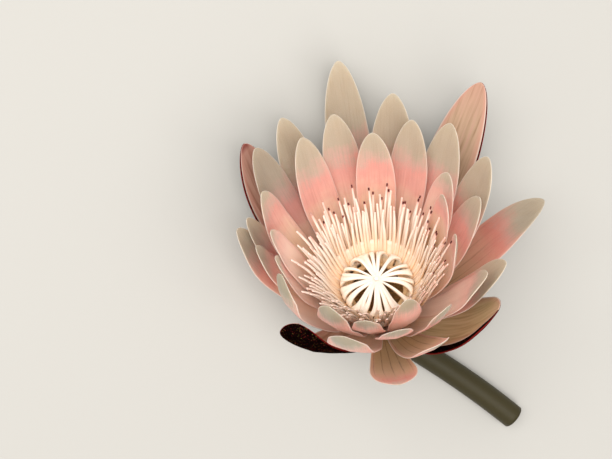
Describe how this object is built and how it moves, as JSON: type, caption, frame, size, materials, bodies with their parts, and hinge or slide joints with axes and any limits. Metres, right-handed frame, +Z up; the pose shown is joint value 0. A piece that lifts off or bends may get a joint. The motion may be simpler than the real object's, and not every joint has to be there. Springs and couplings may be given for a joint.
{
  "type": "water lily flower",
  "caption": "Picked water lily bloom: pointed coral-pink petals in layers, dark-backed sepals, cream stamens round a domed centre, and a bent stalk that lies on the surface.",
  "frame": {"origin": "middle of the bounding box's footprint, on the surface that the flower lies on", "axes": "+Z up from the surface; +Y the way the bloom leans; the stalk runs back to -Y and a little to +X"},
  "size_m": [0.1068, 0.1536, 0.0851],
  "materials": {
    "petal": "soft matte, coral pink with greyish-cream tips and a peach base",
    "sepal": "waxy, near-black maroon outside with small flecks, pale pink inside",
    "stamen": "matte cream white, dark red at some tips",
    "seed_cup": "matte golden brown",
    "stalk": "smooth satin olive brown"
  },
  "bodies": {
    "root": {"sepal_1": "sepal", "sepal_2": "sepal", "sepal_3": "sepal", "sepal_4": "sepal", "petal_01": "petal", "petal_02": "petal", "petal_03": "petal", "petal_04": "petal", "petal_05": "petal", "petal_06": "petal", "petal_07": "petal", "petal_08": "petal", "petal_09": "petal", "petal_10": "petal", "petal_11": "petal", "petal_12": "petal", "petal_13": "petal", "petal_14": "petal", "petal_15": "petal", "petal_16": "petal", "petal_17": "petal", "petal_18": "petal", "petal_19": "petal", "petal_20": "petal", "petal_21": "petal", "petal_22": "petal", "petal_23": "petal", "petal_24": "petal", "petal_25": "petal", "petal_26": "petal", "petal_27": "petal", "petal_28": "petal", "petal_29": "petal", "petal_30": "petal", "petal_31": "petal", "petal_32": "petal", "seed_cup": "seed_cup", "outer_stamens": "stamen", "inner_stamens": "stamen", "stalk": "stalk"}
  },
  "joints": []
}
